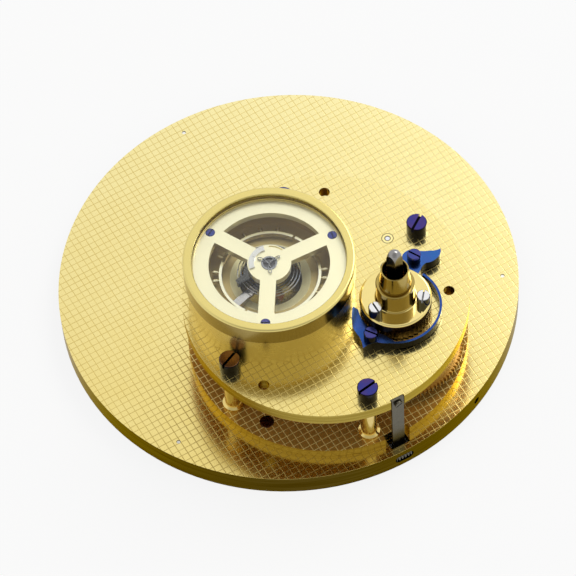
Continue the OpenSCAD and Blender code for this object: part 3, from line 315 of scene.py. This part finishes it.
def polished_steel(name, colour, roughness=0.12, streaks=0.08, top=None, tip=None):
    """Steel with a fine straight grain, with painted shade below top, slots included, and painted light
    towards tip.
    """
    s = Shader(name)
    x, y, z = s.parts(s.place())
    grain = s.noise(s.join(x * 5200.0, y * 1200.0, z * 5200.0), 1.0, 3.0) - 0.5
    marks = s.noise(s.join(x, y, z), 900.0, 3.0, 0.6).ramp(0.45, 0.8)
    shade = s.mix(marks * 0.3 + (grain * streaks).most(0.0), colour, tuple(c * 0.72 for c in colour))
    if top is not None:
        # painted shade: below the top face the colour drops to 12 per cent, on head sides, slots and lower
        # parts
        shade = s.mix(z.above(top - HEAD_SKIN), tuple(c * 0.12 for c in colour), shade)
    if tip is not None:
        # painted light: pale grey over the last millimetres below tip
        shade = s.mix(z.ramp(tip - 2.4 * MM, tip - 0.6 * MM), shade, (0.30, 0.29, 0.28))
    rough = roughness + grain * streaks + marks * 0.08
    return s.finish(
        s.surface(Base_Color=shade, Metallic=1.0, Roughness=rough, Normal=s.bump(grain, 0.1, 0.005 * MM))
    )


def blued_steel(name, colour, tint, top=None, brown_before=None):
    """Heat-blued steel, near black below top as painted shade, where that is given, and brown to the left of
    brown_before.
    """
    s = Shader(name)
    x, y, z = s.parts(s.place())
    film = s.noise(s.join(x, y, z), 420.0, 2.0).ramp(0.3, 0.7)
    grain = s.noise(s.join(x * 4200.0, y * 900.0, z * 4200.0), 1.0, 3.0) - 0.5
    shade = s.mix(film, colour, tint)
    shade = s.mix((grain * 0.7).most(0.0), shade, tuple(c * 0.5 for c in colour))
    if brown_before is not None:
        shade = s.mix(x.below(brown_before), shade, s.mix(film, (0.26, 0.13, 0.05), (0.12, 0.055, 0.03)))
    if top is not None:
        # painted shade below the top face
        shade = s.mix(z.above(top - HEAD_SKIN), SHADE_BELOW_TOP, shade)
    return s.finish(
        s.surface(
            Base_Color=shade,
            Metallic=1.0,
            Roughness=0.2 + grain * 0.08,
            Normal=s.bump(grain, 0.1, 0.005 * MM),
        )
    )


def two_metal_balance(name):
    """Balance with a bright brass rim and grey polished steel arms."""
    s = Shader(name)
    x, y, z = s.parts(s.place(BALANCE))
    radius = s.length(s.join(x, y, 0.0))
    grain = s.noise(s.join(x * 3000.0, y * 3000.0, z * 6000.0), 1.0, 3.0) - 0.5
    rim = radius.above(10.2 * MM)
    colour = s.mix(rim, (0.54, 0.51, 0.50), (0.97, 0.91, 0.68))
    return s.finish(
        s.surface(
            Base_Color=s.mix((grain * 0.6).most(0.0), colour, (0.30, 0.26, 0.22)),
            Metallic=1.0,
            Roughness=0.2 + grain * 0.06,
            Normal=s.bump(grain, 0.1, 0.005 * MM),
        )
    )


def clear_glass(name):
    """Flat watch glass: clear, with fine dust and a faint reflection that grows at a low angle."""
    s = Shader(name)
    dust = s.noise(s.place(), 1500.0, 2.0, 0.7).ramp(0.62, 0.9)
    sheen = s.node("ShaderNodeFresnel", named={"IOR": 1.45})
    gloss = s.node("ShaderNodeBsdfGlossy", named={"Color": (1.0, 1.0, 1.0), "Roughness": 0.02})
    clear = s.node("ShaderNodeBsdfTransparent", named={"Color": (0.98, 0.99, 0.98)})
    mirror = (sheen * 0.5 + dust * 0.02).least(1.0)
    return s.finish(s.node("ShaderNodeMixShader", values=[mirror, clear, gloss]))


def jewel(name, clear_above=None):
    """Synthetic ruby with a wet polish; above a level it is the clear cap jewel over dark steel."""
    s = Shader(name)
    x, y, z = s.parts(s.place())
    cloud = s.noise(s.join(x, y, z), 1400.0, 2.0).ramp(0.3, 0.8)
    colour = s.mix(cloud, (0.50, 0.02, 0.07), (0.26, 0.01, 0.05))
    if clear_above is not None:
        cap = s.mix(cloud, (0.075, 0.07, 0.085), (0.16, 0.15, 0.17))
        colour = s.mix(z.above(clear_above), colour, cap)
    return s.finish(s.surface(Base_Color=colour, Roughness=0.08, Coat_Weight=0.6, Coat_Roughness=0.03))


def silvered(name):
    """Silvered dial: a matt white-silver with the soft circular grain of the finishing."""
    s = Shader(name)
    x, y, z = s.parts(s.place())
    radius = s.length(s.join(x, y, 0.0))
    rings = s.noise(s.join(radius * 5000.0, z, 0.0), 1.0, 4.0) - 0.5
    tarnish = s.noise(s.join(x, y, z), 60.0, 4.0, 0.6).ramp(0.4, 0.8)
    colour = s.mix(tarnish * 0.5, (0.84, 0.83, 0.78), (0.74, 0.71, 0.62))
    return s.finish(
        s.surface(
            Base_Color=colour,
            Metallic=0.6,
            Roughness=0.42 + rings * 0.1,
            Normal=s.bump(rings, 0.15, 0.01 * MM),
        )
    )


def painted(name, colour, roughness=0.35):
    """Dial paint, slightly uneven in gloss."""
    s = Shader(name)
    body = s.noise(s.place(), 2500.0, 2.0).ramp(0.3, 0.8)
    shade = s.mix(body, colour, tuple(c * 1.5 + 0.004 for c in colour))
    return s.finish(s.surface(Base_Color=shade, Roughness=roughness + body * 0.1))


def rim_top(name, centre, inner):
    """The highest level of the part of a node that lies further than inner from centre."""
    return max(v.co.z for v in nodes[name].data.vertices if (v.co.xy - centre.xy).length > inner)


BEZEL_TOP = top_of("housing_bezel")
FLANGE_TOP = rim_top("winding_collar", WINDING, 7.2 * MM)
BRIDGE_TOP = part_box("balance_bridge")[1][2]
TOP_PLATE_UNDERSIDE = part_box("top_plate")[0][2]
CAP_JEWEL_UNDERSIDE = 31.0 * MM
PIN = Vector((18.3, -12.0, 0.0)) * MM
BROWN_SCREW_BEFORE = -15 * MM  # the pillar screw to the left of this was heated only to brown

# Zones of turned brass, colours of painted shade or painted light: inner and outer radius in mm, lowest and
# highest level, colour, roughness
# painted shade: the bezel's wall below its rounded top is darkened
BEZEL_WALL_SHADE = (17.9, 19.0, 0.0, BEZEL_TOP - ROUNDING, (0.40, 0.30, 0.09), 0.14)
# painted light: the drum's inside is a greyish rough brown that stands in for light reaching in through the
# glass
DRUM_INSIDE_LIGHT = (0.0, 14.1, TOP, BEZEL_TOP, (0.60, 0.46, 0.20), 0.5)
# painted highlight: a pale cream ring on the step inside the drum
DRUM_STEP_HIGHLIGHT = (6.6, 8.55, TOP + 4.0 * MM, BEZEL_TOP, (0.97, 0.89, 0.58), 0.45)
# painted shade: the collar flange's side wall is dark brown
FLANGE_WALL_SHADE = (7.45, 8.2, 0.0, FLANGE_TOP - ROUNDING, (0.20, 0.09, 0.025), 0.2)
# painted shade: the collar's tube above the flange is a darker olive brass
COLLAR_TUBE_SHADE = (0.0, 4.7, FLANGE_TOP + 0.05 * MM, FAR, (0.42, 0.31, 0.085), 0.1)
# painted shade: a dark ring near the bush's edge and a dark bore around the pin
BUSH_RING_SHADE = (1.16, 1.4, 0.0, FAR, (0.10, 0.07, 0.025), 0.3)
BUSH_BORE_SHADE = (0.0, 0.68, 0.0, FAR, (0.10, 0.07, 0.025), 0.3)

finishes = {
    # The plates' edge colours are painted reflection: near black on the dial plate, lighter on the pillar and
    # top plates.
    "dial_plate": squared_brass(
        "squared brass, dial plate", PLATE_TOP, (0.040, 0.024, 0.008), (0.088, 0.062, 0.024)
    ),
    "pillar_plate": squared_brass(
        "squared brass, pillar plate", PILLAR_PLATE_TOP, (0.42, 0.29, 0.075), (0.6, 0.46, 0.15),
        # painted reflection, red-brown, on the pillar plate's upper face
        painted_reflection_levels=(PILLAR_PLATE_TOP - SKIN, FAR)
    ),
    "top_plate": squared_brass(
        "squared brass, top plate", TOP, (0.28, 0.20, 0.045), (0.44, 0.34, 0.09),
        # painted reflection, red-brown, on the top plate's underside
        painted_reflection_levels=(-FAR, TOP_PLATE_UNDERSIDE + SKIN)
    ),
    "drum": turned_brass(
        "turned brass, drum", BALANCE, (0.80, 0.65, 0.25), (0.62, 0.47, 0.15), 0.26, 0.25,
        zones=[DRUM_INSIDE_LIGHT, DRUM_STEP_HIGHLIGHT]
    ),
    "bezel": turned_brass(
        "satin brass, bezel", BALANCE, (0.73, 0.61, 0.22), (0.64, 0.51, 0.16), 0.22, zones=[BEZEL_WALL_SHADE]
    ),
    "bridge": turned_brass(
        "frosted brass, bridge", BALANCE, (0.94, 0.865, 0.61), (0.89, 0.80, 0.53), 0.32
    ),
    "collar": turned_brass(
        "turned brass, collar", WINDING, (0.84, 0.69, 0.27), (0.64, 0.47, 0.14), 0.08, 0.15,
        zones=[FLANGE_WALL_SHADE, COLLAR_TUBE_SHADE]
    ),
    "ratchet": turned_brass("dark brass, ratchet", WINDING, (0.30, 0.19, 0.06), (0.2, 0.12, 0.04), 0.2),
    # painted shade: the barrel's brass is darkened where it sits between the plates
    "barrel": turned_brass("turned brass, barrel", WINDING, (0.56, 0.38, 0.13), (0.38, 0.23, 0.07), 0.26),
    "wheel": turned_brass("brass, wheels", MOVEMENT, (0.86, 0.69, 0.29), (0.62, 0.44, 0.14), 0.22),
    # gilt colour, made paler as painted light on screws that lie in the bridge's shadow
    "gilt_painted_light": turned_brass("gilt brass with painted light, timing screws", BALANCE, (0.95, 0.87, 0.60), (0.78, 0.62, 0.3), 0.18),
    # painted shade: the pillars' brass is somewhat darkened between the plates
    "pillar": turned_brass("polished brass, pillars", MOVEMENT, (0.78, 0.61, 0.22), (0.50, 0.34, 0.10), 0.12),
    "bush": turned_brass(
        "turned brass, pin bush", PIN, (0.90, 0.79, 0.36), (0.8, 0.67, 0.27), 0.16, 0.1,
        zones=[BUSH_RING_SHADE, BUSH_BORE_SHADE]
    ),
    "balance": two_metal_balance("two metals, balance"),
    "steel": polished_steel("polished steel", (0.78, 0.79, 0.80)),
    # painted shade on the collar screws below their heads' top
    "screw_steel": polished_steel(
        "polished steel, collar screws", (0.78, 0.78, 0.78), 0.1, 0.06, top=top_of("collar_screws")
    ),
    # painted shade on the stud holder below the bridge's top
    "stud": polished_steel(
        "polished steel, stud holder", (0.73, 0.71, 0.69), 0.14, top=BRIDGE_TOP
    ),
    "setting": polished_steel("grey steel, jewel setting", (0.30, 0.30, 0.32)),
    # painted shade and reflection: the square's dark olive-brown stands in for its hole and the brass it
    # reflects; painted light on its tip
    "square": polished_steel(
        "polished steel with painted shade, square", (0.15, 0.12, 0.06), 0.1, tip=top_of("barrel_arbor")
    ),
    "dark": polished_steel("dark steel, latch", (0.11, 0.10, 0.072), 0.28, 0.2),
    # browned steel; its dark red-brown is also a painted reflection on the screw heads
    "browned_painted_reflection": blued_steel("browned steel with painted reflection, movement screws", (0.11, 0.045, 0.02), (0.07, 0.035, 0.02)),
    "hand_blue": blued_steel("blued steel, hands", (0.030, 0.105, 0.36), (0.045, 0.09, 0.33)),
    "hair_blue": blued_steel("blued steel, balance spring", (0.30, 0.32, 0.40), (0.36, 0.33, 0.32)),
    "pillar_blue": blued_steel(
        "blued, pillar screws", (0.040, 0.045, 0.23), (0.068, 0.045, 0.18),
        top_of("pillar_screws"), BROWN_SCREW_BEFORE
    ),
    "bridge_blue": blued_steel(
        "blued, bridge screws", (0.075, 0.07, 0.26), (0.05, 0.07, 0.27), top_of("bridge_screws")
    ),
    "click_blue": blued_steel(
        "blued, click screws", (0.075, 0.07, 0.25), (0.05, 0.07, 0.25), top_of("click_screws") - ROUNDING
    ),
    "click_flat": blued_steel(
        "blued steel, click", (0.035, 0.12, 0.37), (0.05, 0.1, 0.34), top_of("click")
    ),
    "click_band": blued_steel(
        "blued steel, click spring", (0.020, 0.075, 0.29), (0.035, 0.07, 0.26), top_of("click_spring")
    ),
    "glass": clear_glass("watch glass"),
    "ruby": jewel("ruby"),
    "balance_ruby": jewel("ruby and clear cap jewel", CAP_JEWEL_UNDERSIDE),
    "silver": silvered("silvered brass, dial"),
    "black": painted("black dial paint", (0.01, 0.01, 0.012)),
}

wearing = {
    "dial_plate": "dial_plate",
    "pillar_plate": "pillar_plate",
    "top_plate": "top_plate",
    "drum": "balance_housing",
    "bezel": "housing_bezel",
    "bridge": "balance_bridge",
    "collar": "winding_collar",
    "ratchet": "ratchet_wheel",
    "barrel": "barrel barrel_cover",
    "wheel": "centre_wheel third_wheel fourth_wheel driving_wheel transfer_wheel minute_wheel hour_wheel",
    "gilt_painted_light": "balance_screws lower_cock",
    "balance": "balance_wheel",
    "pillar": "pillars",
    "stud": "stud_holder",
    "setting": "jewel_setting shock_spring",
    "browned_painted_reflection": "movement_screws",
    "steel": "locating_pin housing_screws cock_screw motion_studs "
    "centre_arbor third_arbor fourth_arbor escape_wheel escape_arbor pallet_lever pallet_arbor "
    "balance_staff balance_roller cannon_pinion",
    "screw_steel": "collar_screws",
    "square": "barrel_arbor",
    "dark": "latch_spring latch_screw mainspring",
    "bush": "pin_bush",
    "click_flat": "click",
    "click_band": "click_spring",
    "hand_blue": "minute_hand hour_hand seconds_hand",
    "pillar_blue": "pillar_screws",
    "bridge_blue": "bridge_screws",
    "click_blue": "click_screws",
    "hair_blue": "balance_spring",
    "glass": "housing_glass",
    "balance_ruby": "balance_jewels",
    "ruby": "train_jewels pallet_stones",
    "silver": "dial",
}

for finish, names in wearing.items():
    for name in names.split():
        slots = nodes[name].data.materials
        slots.clear()
        slots.append(finishes[finish])


# Pieces grown by Geometry Nodes


class Growth(Nodes):
    """A geometry tree with named sizes, which is grown once into a plain mesh of one material."""

    def __init__(self, name, sizes):
        self.name = name
        self.sizes = sizes
        self.tree = bpy.data.node_groups.new(name, "GeometryNodeTree")
        self.tree.interface.new_socket("Geometry", in_out="OUTPUT", socket_type="NodeSocketGeometry")
        for key, value in sizes.items():
            socket = self.tree.interface.new_socket(key, in_out="INPUT", socket_type="NodeSocketFloat")
            socket.default_value = value
        self.entry = self.tree.nodes.new("NodeGroupInput")

    def size(self, key):
        return Value(self, self.entry.outputs[key])

    def index(self):
        return self.node("GeometryNodeInputIndex")

    def merged(self, pieces):
        """Several geometries as one."""
        made = self.tree.nodes.new("GeometryNodeJoinGeometry")
        for piece in pieces:
            self.tree.links.new(piece.socket, made.inputs[0])
        return Value(self, made.outputs[0])

    def moved(self, geometry, shift=(0.0, 0.0, 0.0), turn=(0.0, 0.0, 0.0)):
        where = {"Geometry": geometry, "Translation": shift, "Rotation": turn}
        return self.node("GeometryNodeTransform", named=where)

    def circle(self, radius, steps):
        """A closed round curve."""
        sizes = {"Resolution": steps, "Radius": radius}
        return self.node("GeometryNodeCurvePrimitiveCircle", {"mode": "RADIUS"}, named=sizes)

    def swept(self, curve, section):
        """The section carried along the curve."""
        return self.node("GeometryNodeCurveToMesh", named={"Curve": curve, "Profile Curve": section})

    def grown(self, geometry, material):
        """Realizes the geometry, gives it its material and returns it as a finished object."""
        real = self.node("GeometryNodeRealizeInstances", named={"Geometry": geometry})
        dressed = self.node("GeometryNodeSetMaterial", named={"Geometry": real, "Material": material})
        self.tree.links.new(dressed.socket, self.tree.nodes.new("NodeGroupOutput").inputs[0])
        seed = bpy.data.objects.new(self.name, bpy.data.meshes.new(self.name + " seed"))
        bpy.context.scene.collection.objects.link(seed)
        modifier = seed.modifiers.new("growth", "NODES")
        modifier.node_group = self.tree
        for item in self.tree.interface.items_tree:
            if item.in_out == "INPUT":
                modifier[item.identifier] = self.sizes[item.name]
        bpy.context.view_layer.update()
        mesh = bpy.data.meshes.new_from_object(seed.evaluated_get(bpy.context.evaluated_depsgraph_get()))
        seed.modifiers.clear()
        bpy.data.objects.remove(seed)
        mesh.name = self.name
        mesh.materials.clear()
        mesh.materials.append(material)
        form = bmesh.new()
        form.from_mesh(mesh)
        bmesh.ops.recalc_face_normals(form, faces=form.faces)
        form.to_mesh(mesh)
        form.free()
        piece = bpy.data.objects.new(self.name, mesh)
        bpy.context.scene.collection.objects.link(piece)
        return piece


def trefoil_spring():
    """Three-looped wire over the balance's cap jewel, its loops reaching past the setting."""
    g = Growth("trefoil_spring", {"Ring": 1.45 * MM, "Loop": 1.2 * MM, "Wire": 0.09 * MM})
    steps = 168
    angle = g.index() * (2 * math.pi / steps)
    ring, loop = g.size("Ring"), g.size("Loop")
    x = angle.cosine() * ring + (angle * 2).cosine() * loop
    y = angle.sine() * ring - (angle * 2).sine() * loop
    z = (angle * 3).sine() * g.size("Wire") * 0.9
    bend = {"Geometry": g.circle(MM, steps), "Position": g.join(x, y, z)}
    bent = g.node("GeometryNodeSetPosition", named=bend)
    wire = g.swept(bent, g.circle(g.size("Wire"), 8))
    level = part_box("jewel_setting")[1][2] + 0.15 * MM
    placed = g.moved(wire, (BALANCE.x, BALANCE.y, level), (0.0, 0.0, math.radians(-115)))
    return g.grown(placed, finishes["setting"])


def dial_printing():
    """Minute track, hour numbers and seconds track, printed on the dial's face, which looks down."""
    radii = {"Track": 44.5 * MM, "Hours": 37.5 * MM, "Seconds": 12.1 * MM}
    g = Growth("dial_printing", {"Ink": 0.012 * MM, **radii})
    ink = g.size("Ink")
    seconds_y = -16.5 * MM

    def ticks(radius, count, long, wide, bold_every):
        ring = g.node("GeometryNodeMeshCircle", named={"Vertices": count, "Radius": radius})
        bar = g.node("GeometryNodeMeshCube", named={"Size": g.join(long, wide, ink)})
        bold = g.index().remainder(bold_every).below(0.5)
        return g.node(
            "GeometryNodeInstanceOnPoints",
            named={
                "Points": ring,
                "Instance": bar,
                "Rotation": g.join(0.0, 0.0, g.index() * (2 * math.pi / count)),
                "Scale": g.join(1.0, bold * 2.0 + 1.0, 1.0),
            },
        )

    def hoop(radius, wide):
        sizes = {"Width": wide, "Height": ink}
        section = g.node("GeometryNodeCurvePrimitiveQuadrilateral", {"mode": "RECTANGLE"}, named=sizes)
        return g.swept(g.circle(radius, 240), section)

    def number(text, size, radius, turn, middle):
        letters = g.node(
            "GeometryNodeStringToCurves",
            {"align_x": "CENTER", "align_y": "MIDDLE"},
            named={"String": text, "Size": size},
        )
        outlines = g.node("GeometryNodeRealizeInstances", values=[letters])
        flat = g.node("GeometryNodeFillCurve", named={"Curve": outlines})
        raised = {"Mesh": flat, "Offset Scale": ink, "Individual": False}
        solid = g.node("GeometryNodeExtrudeMesh", {"mode": "FACES"}, named=raised)
        return g.moved(solid, g.join(radius * math.sin(turn), radius * math.cos(turn) + middle, 0.0))

    track, seconds = g.size("Track"), g.size("Seconds")
    pieces = [
        ticks(track, 60, 1.6 * MM, 0.16 * MM, 5),
        hoop(track + 0.8 * MM, 0.14 * MM),
        hoop(track - 0.8 * MM, 0.14 * MM),
    ]
    small = [
        ticks(seconds, 60, 0.9 * MM, 0.1 * MM, 5),
        hoop(seconds + 0.45 * MM, 0.1 * MM),
        hoop(seconds - 0.45 * MM, 0.1 * MM),
    ]
    pieces += [g.moved(piece, (0.0, seconds_y, 0.0)) for piece in small]
    for hour in range(1, 13):
        pieces.append(number(str(hour), 6.6 * MM, g.size("Hours"), math.radians(30 * hour), 0.0))
    for second in (15, 30, 45, 60):
        pieces.append(number(str(second), 1.9 * MM, seconds - 1.9 * MM, math.radians(6 * second), seconds_y))
    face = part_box("dial")[0][2]
    placed = g.moved(g.merged(pieces), (0.0, 0.0, face), (0.0, math.pi, 0.0))
    return g.grown(placed, finishes["black"])


loops = trefoil_spring()
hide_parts("shock_spring")
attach(loops, "frame")
printing = dial_printing()
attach(printing, "frame")

# Camera, as fitted on the plates' rims in the photograph

CAMERA_DISTANCE = 0.81137
CAMERA_ELEVATION = math.radians(56.405)
CAMERA_AZIMUTH = math.radians(26.7)
CAMERA_ROLL = math.radians(-4.051)
CAMERA_LENS = 233.5
AIM = Vector((-0.147, -1.924, 0.0)) * MM
turn = Matrix.Rotation(-CAMERA_AZIMUTH, 3, "Z")
lift = Vector((0.0, 0.0, PLATE_TOP))
eye = Vector((0.0, -math.cos(CAMERA_ELEVATION), math.sin(CAMERA_ELEVATION))) * CAMERA_DISTANCE
forward = (AIM - eye).normalized()
right = forward.cross(Vector((0.0, 0.0, 1.0))).normalized()
upward = right.cross(forward)
rolled_right = right * math.cos(CAMERA_ROLL) + upward * math.sin(CAMERA_ROLL)
rolled_up = upward * math.cos(CAMERA_ROLL) - right * math.sin(CAMERA_ROLL)
axes = [turn @ rolled_right, turn @ rolled_up, turn @ -forward]
camera_place = turn @ eye + lift
CAMERA_SIDE = camera_place.normalized()
KEY_SIDE = (turn @ Vector((0.55, 0.62, 0.85))).normalized()

camera_data = bpy.data.cameras.new("camera")
camera_data.sensor_width = 36.0
camera_data.lens = CAMERA_LENS
camera_data.clip_start = 0.01
camera_data.clip_end = 20.0
camera = bpy.data.objects.new("camera", camera_data)
bpy.context.scene.collection.objects.link(camera)
matrix = Matrix([[axes[c][r] for c in range(3)] for r in range(3)]).to_4x4()
matrix.translation = camera_place
camera.matrix_world = matrix
bpy.context.scene.camera = camera

# Floor, backdrop and lights

FLOOR_HALF = 2.5
FLOOR_LEVEL = -0.0002
FLOOR_GLOW = 0.86  # share of the floor that is plain white to the camera
DIM_RADIUS = 48 * MM  # nearer to the middle than this, the floor lies under the plate and stays dim
CAMERA_GLOW = 0.58  # how bright metal sees the camera's side, where the far side is 1
KEY_GLOW = 0.2  # what the key's side adds to that
FILL = 0.62  # strength of the world on the object
KEY_POWER = 5.0


def white_floor():
    """Pale floor, white to the camera and in reflections, which keeps the object's shadow."""
    mesh = bpy.data.meshes.new("floor")
    h = FLOOR_HALF
    corners = [(x, y, FLOOR_LEVEL) for x, y in ((-h, -h), (h, -h), (h, h), (-h, h))]
    mesh.from_pydata(corners, [], [(0, 1, 2, 3)])
    floor = bpy.data.objects.new("floor", mesh)
    bpy.context.scene.collection.objects.link(floor)
    s = Shader("pale floor")
    seen = (s.ray("Camera") + s.ray("Glossy") + s.ray("Transmission")).least(1.0)
    seen = seen * s.length(s.place()).above(DIM_RADIUS)
    matt = s.surface(Base_Color=(0.82, 0.82, 0.81), Roughness=0.9, Specular_IOR_Level=0.0)
    glow = s.node("ShaderNodeEmission", named={"Color": (1.0, 1.0, 1.0), "Strength": 1.0})
    mesh.materials.append(s.finish(s.node("ShaderNodeMixShader", values=[seen * FLOOR_GLOW, matt, glow])))


def studio_world():
    """White to the camera; reflections see a bright far side with a darker region over the camera."""
    world = bpy.data.worlds.new("studio")
    bpy.context.scene.world = world
    s = Shader("studio", world)
    direction = s.node("ShaderNodeTexCoord", output="Generated")
    seen = s.ray("Camera").most(s.ray("Transmission"))
    glossy = s.ray("Glossy")
    reflected = s.toward(direction, CAMERA_SIDE).ramp(0.55, 0.92, 1.0, CAMERA_GLOW)
    reflected = reflected + s.toward(direction, KEY_SIDE).ramp(0.80, 1.0, 0.0, KEY_GLOW)
    strength = seen + (1 - seen) * (glossy * reflected + (1 - glossy) * FILL)
    return s.finish(s.node("ShaderNodeBackground", named={"Color": (1.0, 1.0, 1.0), "Strength": strength}))


def soft_lamp(name, place, target, size, power):
    data = bpy.data.lights.new(name, "AREA")
    data.shape = "DISK"
    data.size = size
    data.energy = power
    lamp = bpy.data.objects.new(name, data)
    bpy.context.scene.collection.objects.link(lamp)
    lamp.location = place
    lamp.rotation_euler = (Vector(target) - Vector(place)).to_track_quat("-Z", "Y").to_euler()


white_floor()
studio_world()
soft_lamp("key", KEY_SIDE * 1.2, (0, 0, 0), 0.7, KEY_POWER)
bpy.context.scene.view_settings.view_transform = "Standard"
